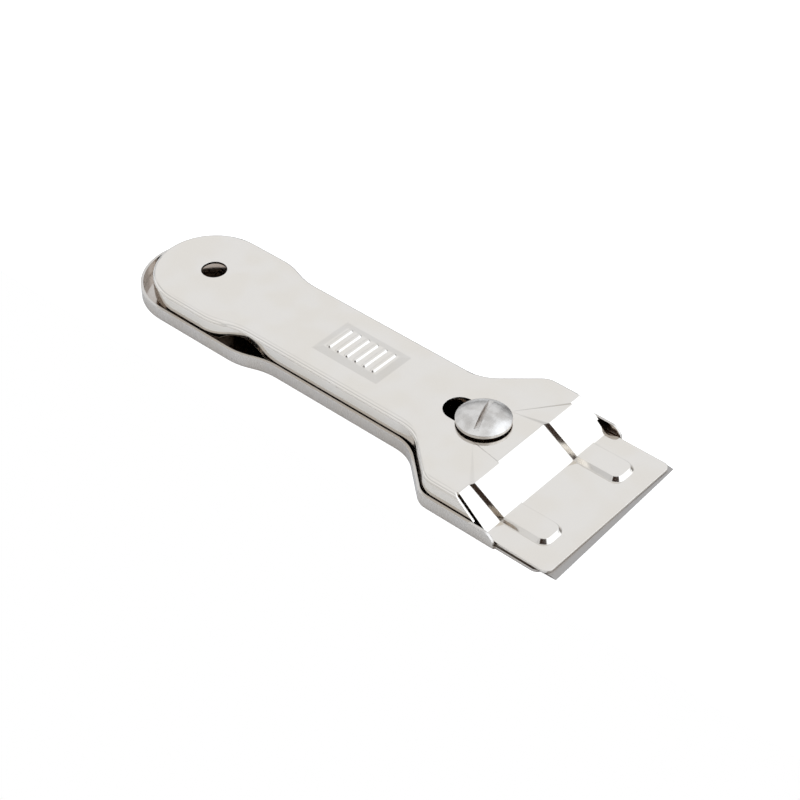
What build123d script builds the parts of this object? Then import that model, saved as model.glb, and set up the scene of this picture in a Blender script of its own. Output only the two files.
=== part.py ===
"""A pressed-steel blade scraper with a sliding cover.

Two nickel-plated pressings lie one inside the other: a shallow base tray with an upturned rim, and a
cover whose skirt runs inside that rim. The blade lies flat on the front of the base, on two studs, and
the front plate of the cover holds it down. A slotted screw in a threaded post clamps the cover, and when
the screw is loose the cover slides forward over the cutting edge.

Frame: +X towards the blade, +Y across, +Z up, with the origin under the middle of the whole tool, on the
surface that it lies on. All sizes are in millimetres.
"""
from build123d import *
import os
from math import atan2, cos, degrees, hypot, radians, sin, tan

# ---- overall sizes ----
tool_length = 139.0         # from the butt to the foremost corner of the blade
blade_width = 43.0
blade_depth = 22.0
blade_thickness = 0.3
base_sheet = 0.65           # steel that the base is pressed from
cover_sheet = 0.6           # steel that the cover is pressed from

# ---- clearances ----
blade_side_gap = 0.35       # between the blade's ends and the rim, on each side
cover_side_gap = 0.25       # between the skirt and the rim along the handle and the head
butt_side_gap = 0.35        # the same along the wide butt
flare_gap = 0.43            # the same where the head flares out
butt_end_gap = 3.6          # behind the cover, inside the rim
blade_lid_gap = 0.05        # between the blade and the front plate
slide_gap = 0.05            # between flat faces that slide on each other
slot_gap = 0.3              # between the post's neck and the sides and ends of its slot
thread_gap = 0.05           # between the screw's shank and the post's bore
stud_play = 0.5             # between a stud and the blade's hole

# ---- base ----
rim_height = 3.7
base_bend = 0.55            # outer radius of the bend between floor and rim
butt_half = 15.1            # half width of the rounded butt
handle_half = 12.5          # half width of the handle
butt_length = 41.0          # from the butt to where the neck starts to draw in
neck_run = 6.9              # length over which the neck draws in
neck_radius = 17.0
flare_angle = 41.0          # how steeply the head flares out
flare_inner_radius = 10.4
flare_outer_radius = 5.0
head_length = 34.3          # from the cover's front edge back to the head's shoulder
rim_stop = 16.8             # from the cover's front edge back to where the rim turns down
tongue_stop = 2.2           # from the cover's front edge back to the tongue's front edge
tongue_corner = 2.0

# ---- cover ----
cover_height = 8.3          # the flat top of the cover above the floor it lies on
skirt_bottom = 3.4
ledge_drop = 1.1            # from the flat top down to the fine ledge around the shoulder
ledge_step = 0.12           # how far that ledge stands out
shoulder_radius = 1.0
neck_lead = 9.3             # how far the cover's neck lies behind the neck of the base
arch_length = 13.0          # the skirt is shallower in the neck: an arch of this length
arch_rise = 2.4             # and this height
arch_shift = 1.7            # its middle, ahead of the narrow end of the cover's neck
slope_foot = 16.95          # from the front edge back to the foot of the slope
slope_run = 7.65            # length of the slope, seen from above
slit_width = 0.35           # between the slope and the skirt beside it
slope_relief = 0.5          # how far the skirt's front edge lies behind the slope
plate_corner = 1.8
fold_radius = 0.3           # inside radius of the folds at the top and foot of the slope
flap_lap = 3.4              # how far the slope's sheet runs on into the flat top
notch_start = 1.0           # a concave notch joins the narrow slope to the wide front plate,
notch_length = 1.5          # from here, ahead of the slope's foot, over this length
notch_radius = 1.0
blade_show = 1.2            # how far the cutting edge stands out past the front plate

# ---- ribs of the cover ----
stud_spacing = 25.1         # between the two studs, and between the two ribs above them
rib_half = 3.55             # half width of a rib at its foot
rib_height = 1.09
rib_draft = 32.0            # how far a rib's sides lean in
rib_nose = 4.9              # from the front edge back to the rib's nose
rib_corner = 2.4
rib_flare = 1.2             # how much wider each side of a rib is at the top of the slope
facet_length = 8.2          # how far each rib runs back on the flat top, as a fading facet
facet_tip_side = 6.4        # how far the facet's tip lies from the middle line
facet_rise = 0.55           # height of the facet at its front
rib_inset = 0.35            # how much narrower the hollow of a rib is, on each side

# ---- thumb grip ----
grip_back = 70.8            # from the front edge back to the middle of the grip
grip_length = 19.6
grip_width = 12.0
grip_frame = 1.9            # width of the sloping border
grip_rise = 0.5
grip_bars = 6
grip_bar_width = 1.3
grip_bar_rise = 0.45

# ---- hanging hole ----
hole_back = 19.1            # from the butt to the hole's middle
hole_radius = 3.1

# ---- screw, post and studs ----
screw_back = 35.0           # from the cover's front edge back to the screw
screw_radius = 2.5
head_radius = 6.3
head_edge = 0.75
head_crown = 1.6
driver_slot_width = 1.1
driver_slot_depth = 1.15
driver_slot_turn = -70.0    # degrees from +X
shank_foot = 1.2            # height of the screw's lower end
washer_radius = 5.0
washer_thickness = 0.5
washer_play = 0.2
cover_travel = 6.7          # how far the cover slides forward over the blade
neck_wall = 1.0             # wall of the post's neck around the bore
post_radius = 5.2
post_spigot_radius = 4.0
stud_radius = 2.0
stud_height = 1.55
stud_dome = 0.35
blade_skew = 1.8            # degrees that the blade sits turned, within its play
blade_bevel = 1.3           # width of the ground bevel, seen from above
blade_edge = 0.05           # thickness left at the cutting edge

# ---- places that follow from the sizes ----
butt_x = -tool_length / 2
skew = radians(blade_skew)
blade_reach = blade_depth / 2 * cos(skew) + blade_width / 2 * sin(skew)
blade_x = tool_length / 2 - blade_reach
front_x = blade_x + blade_depth / 2 - blade_show
screw_x = front_x - screw_back
hole_x = butt_x + hole_back
stud_y = stud_spacing / 2
flare = radians(flare_angle)

head_half = blade_width / 2 + blade_side_gap + base_sheet
cover_head_half = head_half - base_sheet - cover_side_gap
cover_handle_half = handle_half - base_sheet - cover_side_gap
cover_butt_half = butt_half - base_sheet - butt_side_gap
plate_half = blade_width / 2
flap_half = cover_head_half - cover_sheet - slit_width

base_neck_x = butt_x + butt_length
base_head_x = front_x - head_length
base_flare_x = base_head_x - (head_half - handle_half) / tan(flare)
cover_butt_x = butt_x + base_sheet + butt_end_gap
cover_neck_x = base_neck_x - neck_lead
flare_shift = (base_sheet + flare_gap) / sin(flare)
cover_flare_x = base_flare_x + flare_shift - (handle_half - cover_handle_half) / tan(flare)
cover_head_x = cover_flare_x + (cover_head_half - cover_handle_half) / tan(flare)

plate_bottom = base_sheet + blade_thickness + blade_lid_gap
plate_top = plate_bottom + cover_sheet
foot_x = front_x - slope_foot
edge_x = foot_x - slope_run
slope_angle = atan2(cover_height - plate_top, slope_run)
fold_shift = cover_sheet * tan(slope_angle / 2)
cover_inside = cover_height - cover_sheet

neck_radius_post = screw_radius + thread_gap + neck_wall
slot_half = neck_radius_post + slot_gap
slot_front_x = screw_x + slot_half
slot_rear_x = screw_x - slot_half - cover_travel
washer_z = cover_height + slide_gap
head_z = washer_z + washer_thickness + slide_gap / 2


def pressing_outline(butt_end, butt, neck_x, handle, flare_x, head_x, head, front):
    """The plan of one pressing: round butt, drawn-in neck, straight handle and flared head."""
    centre_x = butt_end + butt
    corners = [
        (centre_x, butt), (neck_x, butt), (neck_x + neck_run, handle),
        (flare_x, handle), (head_x, head), (front, head),
    ]
    radii = [neck_radius, neck_radius, flare_inner_radius, flare_outer_radius]
    with BuildSketch() as outline:
        with BuildLine():
            CenterArc((centre_x, 0), butt, 90, 90)
            FilletPolyline(*corners, radius=radii)
            Polyline((front, head), (front, 0), (butt_end, 0))
        make_face()
        mirror(about=Plane.XZ)
    return outline.sketch


def base_outline(front):
    """The outside of the base tray, cut off square at the given front."""
    return pressing_outline(
        butt_x, butt_half, base_neck_x, handle_half, base_flare_x, base_head_x, head_half, front
    )


def cover_outline(front):
    """The outside of the cover's skirt, cut off square at the given front."""
    return pressing_outline(
        cover_butt_x, cover_butt_half, cover_neck_x, cover_handle_half,
        cover_flare_x, cover_head_x, cover_head_half, front,
    )


# ---- base_shell: the lower pressing ----
rim_stop_x = front_x - rim_stop
tongue_x = front_x - tongue_stop
wall_height = rim_height - base_sheet
rim_end_x = rim_stop_x + wall_height
spare = 5.0                 # how far cutting shapes run past what they cut
block = 2 * blade_width     # a size that reaches past the head on every side
tongue_back_x = rim_stop_x - spare

with BuildPart() as base_shell:
    with BuildSketch():
        add(base_outline(rim_end_x))
    extrude(amount=rim_height)
    underside = base_shell.faces().sort_by(Axis.Z)[0]
    fillet(underside.edges().filter_by(GeomType.LINE, reverse=True), base_bend)
    with BuildSketch(Plane.XY.offset(base_sheet)):
        add(base_outline(rim_end_x + spare))
        offset(amount=-base_sheet, mode=Mode.REPLACE)
    extrude(amount=rim_height, mode=Mode.SUBTRACT)
    # the rim turns down to the floor in a quarter circle
    with BuildSketch(Plane.XZ):
        with BuildLine():
            CenterArc((rim_stop_x, base_sheet), wall_height, 0, 90)
            Polyline(
                (rim_stop_x, rim_height), (rim_stop_x, rim_height + spare),
                (rim_end_x + spare, rim_height + spare), (rim_end_x + spare, base_sheet),
                (rim_end_x, base_sheet),
            )
        make_face()
    extrude(amount=head_half + spare, both=True, mode=Mode.SUBTRACT)
    # the flat tongue under the blade
    with BuildSketch():
        with Locations(((tongue_x + tongue_back_x) / 2, 0)):
            Rectangle(tongue_x - tongue_back_x, 2 * (head_half - base_sheet))
    extrude(amount=base_sheet)
    fillet(base_shell.edges().filter_by(Axis.Z).group_by(Axis.X)[-1], tongue_corner)
    with BuildSketch():
        with Locations((hole_x, 0)):
            Circle(hole_radius)
        with Locations((screw_x, 0)):
            Circle(post_spigot_radius)
        with Locations((blade_x, stud_y), (blade_x, -stud_y)):
            Circle(stud_radius)
    extrude(amount=base_sheet, mode=Mode.SUBTRACT)

# ---- cover_shell: the upper pressing ----
ledge_z = cover_height - ledge_drop
shell_front_x = foot_x + spare

with BuildPart() as cover_body:
    with BuildSketch(Plane.XY.offset(skirt_bottom)):
        add(cover_outline(shell_front_x))
    extrude(amount=ledge_z - skirt_bottom)
    with BuildSketch(Plane.XY.offset(ledge_z)):
        add(cover_outline(shell_front_x))
        offset(amount=-ledge_step, mode=Mode.REPLACE)
    extrude(amount=ledge_drop)
    top_face = cover_body.faces().sort_by(Axis.Z)[-1]
    fillet(top_face.edges(), shoulder_radius)
    with BuildSketch(Plane.XY.offset(skirt_bottom)):
        add(cover_outline(shell_front_x + spare))
        offset(amount=-cover_sheet, mode=Mode.REPLACE)
    extrude(amount=cover_inside - skirt_bottom, mode=Mode.SUBTRACT)


def slope_plane(drop):
    """A plane along the slope, its X up the slope and its Z out of it, a given drop below the skin."""
    up = Vector(-cos(slope_angle), 0, sin(slope_angle))
    out = Vector(sin(slope_angle), 0, cos(slope_angle))
    return Plane(origin=Vector(foot_x, 0, plate_top) - out * drop, x_dir=up, z_dir=out)


slope_length = hypot(slope_run, cover_height - plate_top)

with BuildPart() as skirt_cuts:
    # everything in front of the slope, so that the skirt ends behind it
    with BuildSketch(slope_plane(slope_relief)):
        Rectangle(block, block)
    extrude(amount=block)
    # the arch where the skirt is shallower in the neck
    arch_radius = (arch_length**2 / 4 + arch_rise**2) / (2 * arch_rise)
    arch_x = cover_neck_x + neck_run + arch_shift
    with BuildSketch(Plane.XZ):
        with Locations((arch_x, skirt_bottom + arch_rise - arch_radius)):
            Circle(arch_radius)
    extrude(amount=cover_butt_half + spare, both=True)

flap_back_x = edge_x - flap_lap
outer_fold = fold_radius + cover_sheet
notch_x = foot_x + notch_start
with BuildPart() as flap:
    with BuildSketch(Plane.XZ):
        with BuildLine():
            FilletPolyline(
                (flap_back_x, cover_height), (edge_x, cover_height), (foot_x, plate_top),
                (front_x, plate_top), radius=[outer_fold, fold_radius],
            )
            FilletPolyline(
                (front_x, plate_bottom), (foot_x - fold_shift, plate_bottom),
                (edge_x - fold_shift, cover_inside), (flap_back_x, cover_inside),
                radius=[outer_fold, fold_radius],
            )
            Line((front_x, plate_top), (front_x, plate_bottom))
            Line((flap_back_x, cover_inside), (flap_back_x, cover_height))
        make_face()
    extrude(amount=plate_half, both=True)
    with BuildSketch():
        with BuildLine():
            FilletPolyline(
                (flap_back_x, 0), (flap_back_x, flap_half), (notch_x, flap_half),
                (notch_x + notch_length, plate_half), (front_x, plate_half), (front_x, 0),
                radius=[0, notch_radius, notch_radius, plate_corner],
            )
            Line((front_x, 0), (flap_back_x, 0))
        make_face()
        mirror(about=Plane.XZ)
    extrude(amount=cover_height + spare, mode=Mode.INTERSECT)


# where a rib's fading facet meets the top of the rib on the slope: a distance down the slope from the
# edge of the flat top, and the same place as a step forward and up from that edge
crest_drop = (
    rib_height * cos(slope_angle) - facet_rise * (1 + rib_height * sin(slope_angle) / facet_length)
) / (sin(slope_angle) + cos(slope_angle) * facet_rise / facet_length)
crest_forward = rib_height * sin(slope_angle) + crest_drop * cos(slope_angle)
crest_up = rib_height * cos(slope_angle) - crest_drop * sin(slope_angle)
# on the slope a rib's sides lean a little less, so that they meet its sides on the plate in one corner
rib_bend = rib_height * tan(slope_angle / 2)
rib_lean = tan(radians(rib_draft)) - rib_flare / slope_length * rib_bend / rib_height
slope_draft = degrees(atan2(rib_lean, hypot(1, rib_flare / slope_length)))
rib_lap = 1.0               # how far each stretch of a rib runs on into the next one
rib_sink = 0.3              # how far a rib's solid reaches down into the sheet below it


def rib_form(inset):
    """The rib on the left as a solid: along the front plate, up the slope, fading on the flat top.

    The inset makes it narrower on each side, for the hollow of the rib.
    """
    half = rib_half - inset
    edge_half = half + rib_flare
    crest_half = edge_half - rib_flare * crest_drop / slope_length - rib_height * rib_lean
    low, high = -rib_lap / 2, slope_length + rib_lap
    low_half = half + rib_flare * low / slope_length + rib_sink * rib_lean
    high_half = half + rib_flare * high / slope_length + rib_sink * rib_lean
    with BuildPart() as slope_rib:
        with BuildSketch(slope_plane(rib_sink)):
            with BuildLine():
                Polyline(
                    (low, stud_y - low_half), (high, stud_y - high_half),
                    (high, stud_y + high_half), (low, stud_y + low_half), close=True,
                )
            make_face()
        extrude(amount=rib_height + rib_sink, taper=slope_draft)
        behind = Plane(
            origin=(edge_x, 0, cover_height), x_dir=(0, 1, 0), z_dir=(crest_up, 0, -crest_forward)
        )
        split(bisect_by=behind, keep=Keep.TOP)

    sunk_z = cover_height - rib_sink
    tip = Vector(edge_x - facet_length, facet_tip_side, cover_height)
    near = Vector(edge_x, stud_y - edge_half, cover_height)
    far = Vector(edge_x, stud_y + edge_half, cover_height)
    crest_x, crest_z = edge_x + crest_forward, cover_height + crest_up
    near_crest = Vector(crest_x, stud_y - crest_half, crest_z)
    far_crest = Vector(crest_x, stud_y + crest_half, crest_z)
    sunk_tip, sunk_near, sunk_far = (Vector(v.X, v.Y, sunk_z) for v in (tip, near, far))
    facet = Solid(Shell([
        Face(Wire.make_polygon(corners)) for corners in (
            (tip, near_crest, far_crest), (tip, near, near_crest), (tip, far_crest, far),
            (near, far, far_crest, near_crest), (tip, sunk_tip, sunk_near, near),
            (tip, far, sunk_far, sunk_tip), (near, sunk_near, sunk_far, far),
            (sunk_tip, sunk_far, sunk_near),
        )
    ]))

    nose_x = front_x - rib_nose
    tail_x = foot_x - rib_lap
    with BuildPart() as rib:
        with BuildSketch(Plane.XY.offset(plate_top)):
            with BuildLine():
                FilletPolyline(
                    (tail_x, stud_y - half), (nose_x, stud_y - half),
                    (nose_x, stud_y + half), (tail_x, stud_y + half),
                    radius=rib_corner - inset,
                )
                Line((tail_x, stud_y + half), (tail_x, stud_y - half))
            make_face()
        extrude(amount=rib_height, taper=rib_draft)
        add(slope_rib.part)
        add(facet)
    return rib.part


grip_x = front_x - grip_back
grip_inner_length = grip_length - 2 * grip_frame
grip_pitch = grip_inner_length / grip_bars
frame_lean = degrees(atan2(grip_frame, grip_rise))

with BuildPart() as thumb_grip:
    with BuildSketch(Plane.XY.offset(cover_height)):
        with Locations((grip_x, 0)):
            Rectangle(grip_length, grip_width)
    extrude(amount=grip_rise, taper=frame_lean)
    with BuildSketch(Plane.XY.offset(cover_height + grip_rise)):
        with Locations((grip_x, 0)):
            with GridLocations(grip_pitch, 0, grip_bars, 1):
                SlotOverall(grip_width - 2 * grip_frame, grip_bar_width, rotation=90)
    extrude(amount=grip_bar_rise, taper=rib_draft)

with BuildPart() as cover_shell:
    add(cover_body.part)
    add(skirt_cuts.part, mode=Mode.SUBTRACT)
    add(flap.part)
    left_rib = rib_form(0)
    left_hollow = Pos(-fold_shift, 0, -cover_sheet) * rib_form(rib_inset)
    add(left_rib)
    add(mirror(left_rib, about=Plane.XZ, mode=Mode.PRIVATE))
    add(thumb_grip.part)
    add(left_hollow, mode=Mode.SUBTRACT)
    add(mirror(left_hollow, about=Plane.XZ, mode=Mode.PRIVATE), mode=Mode.SUBTRACT)
    # the slot for the post's neck, and the hanging hole
    slot_length = slot_front_x - slot_rear_x
    with BuildSketch(Plane.XY.offset(cover_inside - slide_gap)):
        with Locations(((slot_front_x + slot_rear_x) / 2, 0)):
            SlotOverall(slot_length, 2 * slot_half)
        with Locations((hole_x, 0)):
            Circle(hole_radius)
    extrude(amount=spare, mode=Mode.SUBTRACT)

# ---- blade ----
blade_plane = Plane(
    origin=(blade_x, 0, base_sheet), x_dir=(cos(skew), sin(skew), 0), z_dir=(0, 0, 1)
)
with BuildPart() as blade:
    with BuildSketch(blade_plane):
        Rectangle(blade_depth, blade_width)
        with Locations((0, stud_y), (0, -stud_y)):
            Circle(stud_radius + stud_play, mode=Mode.SUBTRACT)
    extrude(amount=blade_thickness)
    # the ground bevel on the upper side of the cutting edge
    with BuildSketch(Plane(blade_plane.origin, blade_plane.x_dir, -blade_plane.y_dir)):
        with BuildLine():
            Polyline(
                (blade_depth / 2 - blade_bevel, blade_thickness),
                (blade_depth / 2 + blade_bevel, 2 * blade_edge - blade_thickness),
                (blade_depth / 2 + blade_bevel, blade_thickness), close=True,
            )
        make_face()
    extrude(amount=blade_width, both=True, mode=Mode.SUBTRACT)

# ---- threaded_post: riveted through the floor, guides the slot and takes the screw ----
with BuildPart() as threaded_post:
    with BuildSketch(Plane((screw_x, 0, 0), x_dir=(1, 0, 0), z_dir=(0, -1, 0))):
        with BuildLine():
            bore = screw_radius + thread_gap
            shoulder_z = cover_inside - slide_gap
            neck_z = cover_height - slide_gap
            Polyline(
                (bore, 0), (post_spigot_radius, 0), (post_spigot_radius, base_sheet),
                (post_radius, base_sheet), (post_radius, shoulder_z),
                (neck_radius_post, shoulder_z), (neck_radius_post, neck_z), (bore, neck_z), close=True,
            )
        make_face()
    revolve(axis=Axis((screw_x, 0, 0), (0, 0, 1)))

# ---- screw_washer ----
with BuildPart() as screw_washer:
    with BuildSketch(Plane.XY.offset(washer_z)):
        with Locations((screw_x, 0)):
            Circle(washer_radius)
            Circle(screw_radius + washer_play, mode=Mode.SUBTRACT)
    extrude(amount=washer_thickness)

# ---- clamp_screw ----
crown_radius = (head_radius**2 + head_crown**2) / (2 * head_crown)
crown_z = head_z + head_edge
with BuildPart() as clamp_screw:
    with BuildSketch(Plane((screw_x, 0, 0), x_dir=(1, 0, 0), z_dir=(0, -1, 0))):
        with BuildLine():
            Polyline(
                (0, crown_z + head_crown), (0, shank_foot), (screw_radius, shank_foot),
                (screw_radius, head_z), (head_radius, head_z), (head_radius, crown_z),
            )
            RadiusArc((head_radius, crown_z), (0, crown_z + head_crown), -crown_radius)
        make_face()
    revolve(axis=Axis((screw_x, 0, 0), (0, 0, 1)))
    slot_floor_z = crown_z + head_crown - driver_slot_depth
    with BuildSketch(Plane.XY.offset(slot_floor_z)):
        with Locations((screw_x, 0)):
            Rectangle(head_radius * 3, driver_slot_width, rotation=driver_slot_turn)
    extrude(amount=spare, mode=Mode.SUBTRACT)

# ---- blade_stud_left and blade_stud_right ----
studs = {}
for name, y in {"blade_stud_left": stud_y, "blade_stud_right": -stud_y}.items():
    with BuildPart() as stud:
        with BuildSketch():
            with Locations((blade_x, y)):
                Circle(stud_radius)
        extrude(amount=stud_height)
        rim = stud.edges().filter_by(GeomType.CIRCLE).sort_by(Axis.Z)[-1]
        fillet(rim, stud_dome)
    studs[name] = stud

# ---- every piece to its own file ----
pieces = {
    "base_shell": base_shell, "cover_shell": cover_shell, "blade": blade,
    "threaded_post": threaded_post, "screw_washer": screw_washer, "clamp_screw": clamp_screw,
    **studs,
}
os.makedirs("parts", exist_ok=True)
for name, piece in pieces.items():
    piece.part.label = name
    export_step(piece.part, f"parts/{name}.step")
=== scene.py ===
# %% [markdown]
# # A pressed-steel blade scraper
#
# The tool is two nickel-plated pressings, one lying inside the other, with a wide thin blade between
# them and one slotted screw that clamps the lot. Nearly everything that the eye takes for "colour" here
# is a reflection. So the lesson is mostly about three things: edges that are soft enough to catch light,
# metals with the right small faults in them, and a room that is worth reflecting.

import math

import bpy
from mathutils import Matrix, Vector


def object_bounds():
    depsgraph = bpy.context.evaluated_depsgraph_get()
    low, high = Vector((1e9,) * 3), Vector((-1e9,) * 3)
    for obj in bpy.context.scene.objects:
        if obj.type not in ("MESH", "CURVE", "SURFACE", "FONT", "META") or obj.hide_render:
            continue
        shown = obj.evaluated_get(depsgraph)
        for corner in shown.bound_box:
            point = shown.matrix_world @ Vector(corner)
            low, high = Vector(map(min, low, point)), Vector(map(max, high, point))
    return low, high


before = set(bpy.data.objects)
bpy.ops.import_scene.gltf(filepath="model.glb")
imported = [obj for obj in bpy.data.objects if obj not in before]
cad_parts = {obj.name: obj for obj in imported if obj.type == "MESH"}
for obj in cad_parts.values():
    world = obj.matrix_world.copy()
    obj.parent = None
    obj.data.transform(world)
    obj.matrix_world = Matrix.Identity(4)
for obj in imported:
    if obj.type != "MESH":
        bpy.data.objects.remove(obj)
cad_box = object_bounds()
MM = 0.001
print("nodes:", ", ".join(sorted(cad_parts)))
print("overall size in mm:", [round((cad_box[1][i] - cad_box[0][i]) / MM, 2) for i in range(3)])

# %% [markdown]
# ## The camera
#
# The tool lies flat and is seen from above its blade end, a long way off through a long lens, so that
# its two sides stay nearly parallel. It is easiest to say where such a camera is by the point it looks
# at, its distance, and two angles. The last small angle is a lean of the camera itself.

# %% Camera
def direction(azimuth_deg, elevation_deg):
    """A unit vector, from its angle round the tool and its angle above the floor."""
    a, e = math.radians(azimuth_deg), math.radians(elevation_deg)
    return Vector((math.cos(e) * math.cos(a), math.cos(e) * math.sin(a), math.sin(e)))


aim = Vector((7.81, 0.64, 0.0)) * MM
distance = 456.5 * MM
towards_camera = direction(-48.341, 40.934)
lean = math.radians(-0.397)

camera_data = bpy.data.cameras.new("camera")
camera_data.lens = 90.93
camera_data.sensor_width = 36.0
camera_data.clip_start = 0.01
camera = bpy.data.objects.new("camera", camera_data)
bpy.context.scene.collection.objects.link(camera)
looking = (-towards_camera).to_track_quat("-Z", "Y").to_matrix().to_4x4()
place = Matrix.Translation(aim + towards_camera * distance)
camera.matrix_world = place @ looking @ Matrix.Rotation(lean, 4, "Z")
bpy.context.scene.camera = camera
print("camera at", [round(v / MM, 2) for v in camera.matrix_world.translation])

# %% [markdown]
# ## A few helpers for shader nodes
#
# A node tree is easier to read as sums and mixes than as a list of links. So each helper adds one node,
# links or sets what goes into it, and hands back what comes out.

# %% Helpers for node trees
def node(tree, kind, inputs=None, **settings):
    """Adds a shader node, sets its properties, and sets or links its inputs."""
    made = tree.nodes.new(kind)
    for name, value in settings.items():
        setattr(made, name, value)
    for key, value in (inputs or {}).items():
        if isinstance(value, bpy.types.NodeSocket):
            tree.links.new(value, made.inputs[key])
        else:
            made.inputs[key].default_value = value
    return made


def maths(tree, operation, a, b=0.0, c=0.0, clamp=False):
    """One Math node; returns its output."""
    return node(tree, "ShaderNodeMath", {0: a, 1: b, 2: c}, operation=operation, use_clamp=clamp).outputs[0]


def band(tree, value, low, high):
    """0 below low, 1 above high, and a smooth rise between."""
    made = node(
        tree, "ShaderNodeMapRange", {"Value": value, "From Min": low, "From Max": high},
        interpolation_type="SMOOTHSTEP",
    )
    return made.outputs["Result"]


def mix_colour(tree, factor, a, b):
    """Colour a where factor is 0, and b where it is 1."""
    made = node(tree, "ShaderNodeMix", {0: factor, 6: a, 7: b}, data_type="RGBA")
    return made.outputs[2]


def vector_maths(tree, operation, a, b=(0.0, 0.0, 0.0), scale=1.0):
    """One Vector Math node."""
    return node(tree, "ShaderNodeVectorMath", {0: a, 1: b, 3: scale}, operation=operation).outputs

# %% [markdown]
# ## The room
#
# Polished metal shows the room and not itself, so the room is designed before any metal. It is a white
# tent: cool white cloth nearly all round, one brighter soft box beyond the blade, and a dark opening in
# front, where a person would stand. Flat faces that point up take the plain cloth and look light grey.
# The slope of the head leans towards the soft box and burns out to white. Steep faces that look into
# the opening turn nearly black, and that contrast is what makes them read as polished. Lamps and cards
# could do the same, but the world shader says it all from the direction of a ray alone, and nothing
# stands in the way of the camera.
#
# Places in the room are given in degrees: the bearing runs round the tool from its blade end, and the
# height is the angle above the floor.

# %% World: where a ray points
world = bpy.data.worlds.new("tent")
bpy.context.scene.world = world
world.use_nodes = True
tree = world.node_tree
tree.nodes.clear()
ray = node(tree, "ShaderNodeTexCoord").outputs["Generated"]
parts = node(tree, "ShaderNodeSeparateXYZ", {0: ray}).outputs
height = maths(tree, "MULTIPLY", maths(tree, "ARCSINE", parts["Z"]), 180 / math.pi)
bearing = maths(tree, "MULTIPLY", maths(tree, "ARCTAN2", parts["Y"], parts["X"]), 180 / math.pi)


def between(value, start, end, edge):
    """1 between start and end, in degrees, with soft edges that reach outwards."""
    rise = band(tree, value, start - edge, start)
    fall = band(tree, value, end, end + edge)
    return maths(tree, "SUBTRACT", rise, fall)


def area(bearings, bearing_edge, heights, height_edge):
    """1 in one rectangle of the room."""
    across = between(bearing, *bearings, bearing_edge)
    up = between(height, *heights, height_edge)
    return maths(tree, "MULTIPLY", across, up)


def changed(brightness, where, amount):
    """The brightness, with that share added (or taken away, below 0) in one area."""
    return maths(tree, "MULTIPLY", brightness, maths(tree, "MULTIPLY_ADD", where, amount, 1.0))

# %% [markdown]
# ## The cloth
#
# Evenly white cloth gives dead metal. Real cloth is darker near the floor and has seams and folds, and
# each one below is there for a face of the tool: the cloth ends early behind it, which draws a grey
# line along every edge that turns away, a darker and a brighter strip hang beside it, for the long
# rounded shoulder of the handle, and a seam high up is drawn out by folds into one thin grey line.

# %% World: the cloth
tent_white = (1.01, 1.04, 1.09)
near_floor, rise_to_full, rise_overhead = 0.80, 0.20, 0.06

cloth = maths(tree, "MULTIPLY_ADD", band(tree, height, 2.0, 34.0), rise_to_full, near_floor)
cloth = maths(tree, "MULTIPLY_ADD", band(tree, height, 46.0, 74.0), rise_overhead, cloth)
behind = area((75, 180), 12, (-20, 6), 6)
aslant_behind = area((66, 108), 8, (-20, 20), 7)
dark_strip = area((-170, -100), 8, (17, 31), 6)
bright_strip = area((-170, -100), 8, (-6, 8), 4)
seam = area((60, 180), 20, (53, 60), 5)
for where, amount in (
    (behind, -0.58), (aslant_behind, -0.55), (dark_strip, -0.24), (bright_strip, 0.45), (seam, -0.15)
):
    cloth = changed(cloth, where, amount)
tent = vector_maths(tree, "SCALE", tent_white, scale=cloth)[0]
print("cloth: two rises and five areas")

# %% [markdown]
# ## The soft box and the opening
#
# The soft box is a round patch with a wide soft edge, because a hard one would show as a lamp in every
# curve. The opening is a tall narrow gap with a low wide one beside it. One big hole would serve the
# small steep faces as well, but then the whole flat top would go dark when it is seen from behind.
# Rays that come straight from the camera see plain white instead, so the backdrop stays clean.

# %% World: the soft box, the opening and the backdrop
soft_box_white = (1.65, 1.75, 1.90, 1.0)
opening_brown = (0.045, 0.030, 0.024, 1.0)
backdrop_white = (1.0, 1.0, 1.0, 1.0)
soft_box_at = direction(33, 27)
full_inside, none_outside = math.cos(math.radians(38)), math.cos(math.radians(52))

closeness = vector_maths(tree, "DOT_PRODUCT", ray, soft_box_at)["Value"]
in_box = band(tree, closeness, none_outside, full_inside)
in_box = maths(tree, "MULTIPLY", in_box, maths(tree, "SUBTRACT", 1.0, aslant_behind))
tent = mix_colour(tree, in_box, tent, soft_box_white)

tall_gap = area((-88, -64), 4, (-40, 26), 5)
wide_gap = area((-68, -22), 4, (18, 28), 2)
tent = mix_colour(tree, maths(tree, "MAXIMUM", tall_gap, wide_gap), tent, opening_brown)

straight = node(tree, "ShaderNodeLightPath").outputs["Is Camera Ray"]
tent = mix_colour(tree, straight, tent, backdrop_white)
background = node(tree, "ShaderNodeBackground", {"Color": tent, "Strength": 1.0})
node(tree, "ShaderNodeOutputWorld", {"Surface": background.outputs[0]})
bpy.context.scene.view_settings.view_transform = "Standard"
print("world nodes:", len(tree.nodes))

# %% [markdown]
# ## The floor
#
# The tool lies on a sheet of white acrylic with light in it. A plain lit plane would always look greyer
# than the backdrop behind it, so the floor gives a little light of its own to the camera, and only its
# soft shading to the metal that it is mirrored in. Where the tool covers it, under the tool and in its
# holes, that light is shut off. The sheet also ends close in front of the tool: steep faces that look
# out low over its edge find the dark opening there, and no bright floor.

# %% Floor: the sheet
sheet_near, sheet_far, sheet_half = -27 * MM, 900 * MM, 900 * MM
gap_below_tool = 0.02 * MM

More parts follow.
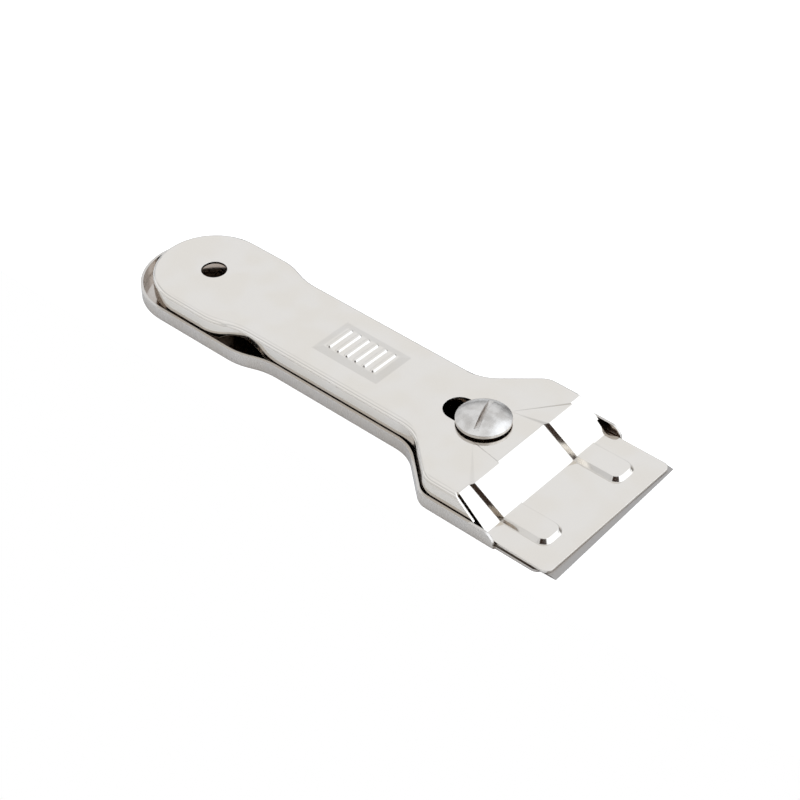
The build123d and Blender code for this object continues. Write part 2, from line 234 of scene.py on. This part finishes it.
bpy.ops.object.select_all(action="DESELECT")
bpy.ops.mesh.primitive_grid_add(x_subdivisions=2, y_subdivisions=2, size=2.0)
floor = bpy.context.object
floor.name = "floor"
bpy.ops.object.mode_set(mode="EDIT")
bpy.ops.mesh.select_all(action="SELECT")
bpy.ops.transform.resize(value=(sheet_half, (sheet_far - sheet_near) / 2, 1.0))
bpy.ops.transform.translate(value=(0.0, (sheet_far + sheet_near) / 2, cad_box[0][2] - gap_below_tool))
bpy.ops.object.mode_set(mode="OBJECT")
print("the floor ends", round(-sheet_near / MM), "mm in front of the middle line")

# %% Floor: lit acrylic
acrylic_white = (0.87, 0.875, 0.88, 1.0)
own_strength = 0.75
cover_reach = 12.0 * MM

floor_paint = bpy.data.materials.new("floor_acrylic")
floor_paint.use_nodes = True
tree = floor_paint.node_tree
tree.nodes.clear()
shade = node(tree, "ShaderNodeBsdfDiffuse", {"Color": acrylic_white})
straight = node(tree, "ShaderNodeLightPath").outputs["Is Camera Ray"]
openness = node(tree, "ShaderNodeAmbientOcclusion", {"Distance": cover_reach}, samples=8).outputs["AO"]
uncovered = band(tree, openness, 0.02, 0.12)
own_light = maths(tree, "MULTIPLY", maths(tree, "MULTIPLY", straight, uncovered), own_strength)
glow = node(tree, "ShaderNodeEmission", {"Color": (1.0, 1.0, 1.0, 1.0), "Strength": own_light})
both = node(tree, "ShaderNodeAddShader", {0: shade.outputs[0], 1: glow.outputs[0]})
node(tree, "ShaderNodeOutputMaterial", {"Surface": both.outputs[0]})
floor.data.materials.append(floor_paint)
print("the floor wears", floor_paint.name)

# %% [markdown]
# ## Small faults, as node groups
#
# A perfect mirror looks like a drawing. Each fault below is a node group, so that several metals can
# share it, and each gives out only a mask, a height or a normal. What to do with that stays the
# business of the metal itself.

# %% Helpers for node groups
def new_group(name, inputs, outputs):
    """An empty shader group; returns its tree, the sockets to read and the sockets to fill."""
    made = bpy.data.node_groups.new(name, "ShaderNodeTree")
    for label, default in inputs.items():
        kind = "NodeSocketVector" if isinstance(default, tuple) else "NodeSocketFloat"
        made.interface.new_socket(name=label, in_out="INPUT", socket_type=kind).default_value = default
    for label, kind in outputs.items():
        made.interface.new_socket(name=label, in_out="OUTPUT", socket_type=kind)
    source = made.nodes.new("NodeGroupInput")
    sink = made.nodes.new("NodeGroupOutput")
    return made, source.outputs, sink.inputs


def use(tree, group, inputs=None):
    """Puts a group into a tree; returns its outputs."""
    return node(tree, "ShaderNodeGroup", inputs, node_tree=group).outputs


def own_place(tree):
    """Object coordinates, in metres from the middle of the tool."""
    return node(tree, "ShaderNodeTexCoord").outputs["Object"]


def stretched(tree, scale, turn=None):
    """Object coordinates, turned about Z and scaled: scale is a tuple or a socket."""
    at = own_place(tree)
    if turn is not None:
        at = node(
            tree, "ShaderNodeVectorRotate", {"Vector": at, "Angle": math.radians(turn)},
            rotation_type="Z_AXIS",
        ).outputs[0]
    return vector_maths(tree, "MULTIPLY", at, scale)[0]


def noise(tree, inputs):
    """One Noise Texture; returns its height."""
    return node(tree, "ShaderNodeTexNoise", inputs).outputs["Fac"]

# %% [markdown]
# ### Rounded edges
#
# Even the edge of thin sheet catches a line of light, because no tool cuts it truly sharp. A bevel in
# the mesh would do that at a great cost in faces. A Bevel node only bends the normal close to each edge.
# Compared with the plain normal, it also tells where an edge is, for wear.

# %% Group: rounded edges
sharp, flat = 0.80, 0.995

rounded_group, taken, given = new_group(
    "rounded_edges", {"Radius": 0.12 * MM},
    {"Normal": "NodeSocketVector", "Edge": "NodeSocketFloat"},
)
soft = node(rounded_group, "ShaderNodeBevel", {"Radius": taken["Radius"]}, samples=4).outputs[0]
plain = node(rounded_group, "ShaderNodeNewGeometry").outputs["Normal"]
agree = vector_maths(rounded_group, "DOT_PRODUCT", soft, plain)["Value"]
edge = maths(rounded_group, "SUBTRACT", 1.0, band(rounded_group, agree, sharp, flat))
rounded_group.links.new(soft, given["Normal"])
rounded_group.links.new(edge, given["Edge"])
print("group:", rounded_group.name)

# %% [markdown]
# ### Sheet waves
#
# A press leaves slow swells in thin sheet, too low to feel and easy to see in a mirror. Plain noise
# with little detail gives them, and its length is given in metres, as for a real thing.

# %% Group: sheet waves
waves_group, taken, given = new_group("sheet_waves", {"Length": 9.0 * MM}, {"Height": "NodeSocketFloat"})
per_metre = maths(waves_group, "DIVIDE", 1.0, taken["Length"])
swell = noise(
    waves_group, {"Vector": own_place(waves_group), "Scale": per_metre, "Detail": 1.5, "Roughness": 0.4}
)
waves_group.links.new(swell, given["Height"])
print("group:", waves_group.name)

# %% [markdown]
# ### Grain
#
# Rolling, brushing and grinding all leave lines that run one way. Noise does too when its coordinates
# are scaled little along the lines and much across them.

# %% Group: grain
grain_group, taken, given = new_group(
    "grain", {"Lines": (1.0, 1.0, 1.0)}, {"Height": "NodeSocketFloat", "Mask": "NodeSocketFloat"}
)
along_lines = stretched(grain_group, taken["Lines"])
lines = noise(grain_group, {"Vector": along_lines, "Scale": 1.0, "Detail": 3.0, "Roughness": 0.6})
grain_group.links.new(lines, given["Height"])
grain_group.links.new(band(grain_group, lines, 0.42, 0.66), given["Mask"])
print("group:", grain_group.name)

# %% [markdown]
# ### Scratches
#
# Scratches are few, long and thin, and they cross. Each layer is very long noise that is cut off close
# to its top, so that only a few threads are left, and three layers lie at three angles. A picture of
# scratches would repeat and blur from close by, and these don't.

# %% Group: scratches
layer_turns = (8.0, 61.0, 112.0)
cut_at_none, cut_lower_by, cut_edge = 0.74, 0.10, 0.035

scratch_group, taken, given = new_group(
    "scratches", {"Length": 9.0 * MM, "Width": 0.07 * MM, "Amount": 0.5}, {"Mask": "NodeSocketFloat"}
)
across = maths(scratch_group, "DIVIDE", 1.0, taken["Width"])
along = maths(scratch_group, "DIVIDE", 1.0, taken["Length"])
fineness = node(scratch_group, "ShaderNodeCombineXYZ", {"X": along, "Y": across, "Z": across}).outputs[0]
cut = maths(scratch_group, "MULTIPLY_ADD", taken["Amount"], -cut_lower_by, cut_at_none)
total = 0.0
for turn in layer_turns:
    threads = noise(
        scratch_group, {"Vector": stretched(scratch_group, fineness, turn), "Scale": 1.0, "Detail": 1.0}
    )
    layer = band(scratch_group, threads, cut, maths(scratch_group, "ADD", cut, cut_edge))
    total = maths(scratch_group, "MAXIMUM", layer, total)
scratch_group.links.new(total, given["Mask"])
print("group:", scratch_group.name, "with", len(layer_turns), "layers")

# %% [markdown]
# ### Corner dirt, and painted shade in shut-in places
#
# Both masks come from ambient occlusion, which asks how much of the room a point can see. Over a short
# reach and broken up by noise, it finds the corners that a cloth doesn't clean. Over a long reach it
# tells the open outside from the inside of the tool, which gets painted shade in a dark brown.

# %% Groups: corner dirt, and the mask for painted shade in shut-in places
dirt_group, taken, given = new_group("corner_dirt", {"Reach": 1.2 * MM}, {"Mask": "NodeSocketFloat"})
close_open = node(
    dirt_group, "ShaderNodeAmbientOcclusion", {"Distance": taken["Reach"]}, samples=4, only_local=True
).outputs["AO"]
blotch = noise(dirt_group, {"Vector": own_place(dirt_group), "Scale": 1 / (0.9 * MM), "Detail": 3.0})
deep = maths(dirt_group, "SUBTRACT", 1.0, band(dirt_group, close_open, 0.25, 0.75))
broken = maths(dirt_group, "MULTIPLY", deep, band(dirt_group, blotch, 0.30, 0.62))
dirt_group.links.new(broken, given["Mask"])

shut_in_group, taken, given = new_group("shut_in", {"Reach": 16.0 * MM}, {"Mask": "NodeSocketFloat"})
far_open = node(
    shut_in_group, "ShaderNodeAmbientOcclusion", {"Distance": taken["Reach"]}, samples=4
).outputs["AO"]
hidden = maths(shut_in_group, "SUBTRACT", 1.0, band(shut_in_group, far_open, 0.06, 0.50))
shut_in_group.links.new(hidden, given["Mask"])
print("groups:", dirt_group.name, "and", shut_in_group.name)

# %% [markdown]
# ### Faces that look outward
#
# The rim of the tray is satin outside and glossy inside, though it is one piece of sheet. A wall looks
# outward where its normal points away from the middle of the tool, so the two are multiplied, on the
# level only.

# %% Group: faces outward
outward_group, taken, given = new_group("faces_outward", {}, {"Mask": "NodeSocketFloat"})
facing = node(outward_group, "ShaderNodeNewGeometry").outputs["Normal"]
level = vector_maths(outward_group, "MULTIPLY", own_place(outward_group), (1.0, 1.0, 0.0))[0]
away = vector_maths(outward_group, "DOT_PRODUCT", facing, level)["Value"]
outward_group.links.new(band(outward_group, away, 0.0, 1.5 * MM), given["Mask"])
print("group:", outward_group.name)

# %% [markdown]
# ## One recipe for every metal
#
# Every metal is one Principled shader fed by the groups. The numbers that matter most are the base
# colour and the roughness. Nickel is a warm grey, and inside the tool light is mirrored several times
# and is tinted each time, so the same colour that looks neutral outside turns brown in the gaps; there
# the colour is also painted dark brown, as painted shade. The faults go into the roughness as much as
# into the height, because a hairline is seen by its dullness long before its depth can be seen.

# %% Recipe for a metal
dirt_brown = (0.20, 0.15, 0.11, 1.0)
# painted shade: the near black that the blade ends are painted in, for the shadowed gap under the plate
painted_gap_black = (0.035, 0.030, 0.027, 1.0)
# painted shade: the dark brown that the inside of the tool is painted in
painted_shade_brown = (0.24, 0.16, 0.105, 1.0)


def metal(name, colour, roughness, rounding=0.12 * MM, wave=0.0, wave_length=9.0 * MM, grain=(1, 1, 1),
          grain_depth=0.0, grain_rough=0.0, scratches=0.4, scratch_rough=0.2, scratch_depth=0.0006 * MM,
          dirt=0.35, edge_shine=0.15, worn_colour=None, inside_shade=0.85, satin_outside=0.0, painted_black_ends=0.0,
          patch_tint=(0.985, 0.975, 0.955)):
    """One plated or bare metal; lengths and depths in metres, the rest from 0 to 1."""
    made = bpy.data.materials.new(name)
    made.use_nodes = True
    tree = made.node_tree
    skin = tree.nodes["Principled BSDF"]
    skin.inputs["Metallic"].default_value = 1.0

    edges = use(tree, rounded_group, {"Radius": rounding})
    waves = use(tree, waves_group, {"Length": wave_length})
    lines = use(tree, grain_group, {"Lines": tuple(grain)})
    marks = use(tree, scratch_group, {"Amount": scratches})
    grime = use(tree, dirt_group)

    # heights are added in metres, so the bump node's own distance is one metre
    surface = maths(tree, "MULTIPLY", waves["Height"], wave)
    surface = maths(tree, "MULTIPLY_ADD", lines["Height"], grain_depth, surface)
    surface = maths(tree, "MULTIPLY_ADD", marks["Mask"], -scratch_depth, surface)
    bump = node(
        tree, "ShaderNodeBump",
        {"Strength": 1.0, "Distance": 1.0, "Height": surface, "Normal": edges["Normal"]},
    )
    tree.links.new(bump.outputs["Normal"], skin.inputs["Normal"])

    rough = maths(tree, "MULTIPLY_ADD", lines["Mask"], grain_rough, roughness)
    rough = maths(tree, "MULTIPLY_ADD", marks["Mask"], scratch_rough, rough)
    if satin_outside:
        rough = maths(tree, "MULTIPLY_ADD", use(tree, outward_group)["Mask"], satin_outside, rough)
    rough = maths(tree, "MULTIPLY_ADD", grime["Mask"], dirt, rough)
    rough = maths(tree, "MULTIPLY_ADD", edges["Edge"], -edge_shine * roughness, rough, clamp=True)
    tree.links.new(rough, skin.inputs["Roughness"])

    # old nickel is a touch yellower in some patches, dirt is brown, and a worn edge shows its steel
    patch = band(tree, waves["Height"], 0.35, 0.65)
    patch_colour = (*(value * tint for value, tint in zip(colour, patch_tint)), 1.0)
    tone = mix_colour(tree, patch, (*colour, 1.0), patch_colour)
    if worn_colour is not None:
        tone = mix_colour(tree, maths(tree, "MULTIPLY", edges["Edge"], 0.5), tone, (*worn_colour, 1.0))
    tone = mix_colour(tree, maths(tree, "MULTIPLY", grime["Mask"], dirt), tone, dirt_brown)
    if painted_black_ends:
        # painted shade: the blade ends, which face along Y, are painted near black for the shadowed gap
        facing = node(tree, "ShaderNodeNewGeometry").outputs["Normal"]
        sideways = maths(tree, "ABSOLUTE", node(tree, "ShaderNodeSeparateXYZ", {0: facing}).outputs["Y"])
        gap_shade = maths(tree, "MULTIPLY", band(tree, sideways, 0.90, 0.98), painted_black_ends)
        tone = mix_colour(tree, gap_shade, tone, painted_gap_black)
    # painted shade: deep inside the tool, in its gaps and hollows, the colour is mixed towards dark brown
    inside = maths(tree, "MULTIPLY", use(tree, shut_in_group)["Mask"], inside_shade)
    tone = mix_colour(tree, inside, tone, painted_shade_brown)
    tree.links.new(tone, skin.inputs["Base Color"])
    print(name, "has", len(tree.nodes), "nodes")
    return made


def lines_along(x, y, z):
    """How fast the grain changes along each axis, from the length of its lines there in mm."""
    return 1 / (x * MM), 1 / (y * MM), 1 / (z * MM)

# %% [markdown]
# ### The cover: bright nickel
#
# The cover is pressed from polished sheet and plated bright. It is nearly a mirror, so its waves are
# kept low and its hairlines few: a little more of either, and the flat top turns to brushed steel.

# %% Bright nickel
cover_nickel = metal(
    "nickel_bright", (0.742, 0.704, 0.650), 0.085, rounding=0.2 * MM, wave=0.012 * MM, wave_length=8.0 * MM,
    grain=lines_along(6.0, 0.12, 0.12), grain_depth=0.0002 * MM, grain_rough=0.035,
    scratches=0.25, scratch_rough=0.16,
)

# %% [markdown]
# ### The base: satin nickel
#
# The tray has the same plating over a rim that nobody polished. Outside it is satin, with fine marks
# that stand upright, as the drawing of the press leaves them.

# %% Satin nickel
base_nickel = metal(
    "nickel_satin", (0.605, 0.575, 0.540), 0.10, satin_outside=0.17, wave=0.008 * MM, wave_length=6.0 * MM,
    grain=lines_along(0.16, 0.16, 5.0), grain_depth=0.0004 * MM, grain_rough=0.06,
    scratches=0.3, scratch_rough=0.1,
)

# %% [markdown]
# ### The screw: worn nickel
#
# Drivers have slipped on the screw many times. It has the most and the deepest scratches, dull grey
# patches between bright ones, and edges rubbed down to a paler metal.

# %% Worn nickel
screw_nickel = metal(
    "nickel_worn", (0.670, 0.645, 0.610), 0.17, rounding=0.16 * MM, wave=0.010 * MM, wave_length=2.4 * MM,
    grain=lines_along(0.10, 1.6, 0.3), grain_depth=0.0012 * MM, grain_rough=0.12,
    scratches=0.95, scratch_rough=0.22, scratch_depth=0.0022 * MM, dirt=0.5,
    worn_colour=(0.72, 0.70, 0.67), patch_tint=(0.80, 0.79, 0.78),
)

# %% [markdown]
# ### The blade: rolled steel
#
# The blade is cut from hardened strip. It is grey and matt from rolling, with lines that run along the
# cutting edge, and brighter only at that edge. Its two ends are painted black, as painted shade for the
# gap.

# %% Rolled steel
blade_steel = metal(
    "steel_rolled", (0.375, 0.357, 0.34), 0.32, rounding=0.05 * MM, wave=0.003 * MM, wave_length=12.0 * MM,
    grain=lines_along(0.09, 7.0, 0.09), grain_depth=0.0009 * MM, grain_rough=0.12,
    scratches=0.4, scratch_rough=0.1, dirt=0.5, edge_shine=0.5, painted_black_ends=0.95,
)

# %% [markdown]
# ### The post and the studs: zinc
#
# The small turned parts inside are zinc plated, duller and bluer than nickel, and grained by the lathe.

# %% Zinc
post_zinc = metal(
    "zinc_plate", (0.60, 0.60, 0.61), 0.33, grain=lines_along(0.3, 0.3, 0.08),
    grain_depth=0.0015 * MM, grain_rough=0.15, dirt=0.6,
)

# %% [markdown]
# ## Dressing the pieces
#
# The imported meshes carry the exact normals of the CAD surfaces: flat faces are truly flat and rounds are
# truly round. Merging their points and smoothing them again would smear light across the sharp creases
# of the ribs, so the meshes are left alone, and the rounded edges come from the Bevel node.

# %% Dress every node
dress = {
    "cover_shell": cover_nickel, "base_shell": base_nickel, "clamp_screw": screw_nickel,
    "screw_washer": screw_nickel, "blade": blade_steel, "threaded_post": post_zinc,
    "blade_stud_left": post_zinc, "blade_stud_right": post_zinc,
}
for name, material in dress.items():
    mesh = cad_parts[name].data
    mesh.materials.clear()
    mesh.materials.append(material)
    print(name, "wears", material.name)
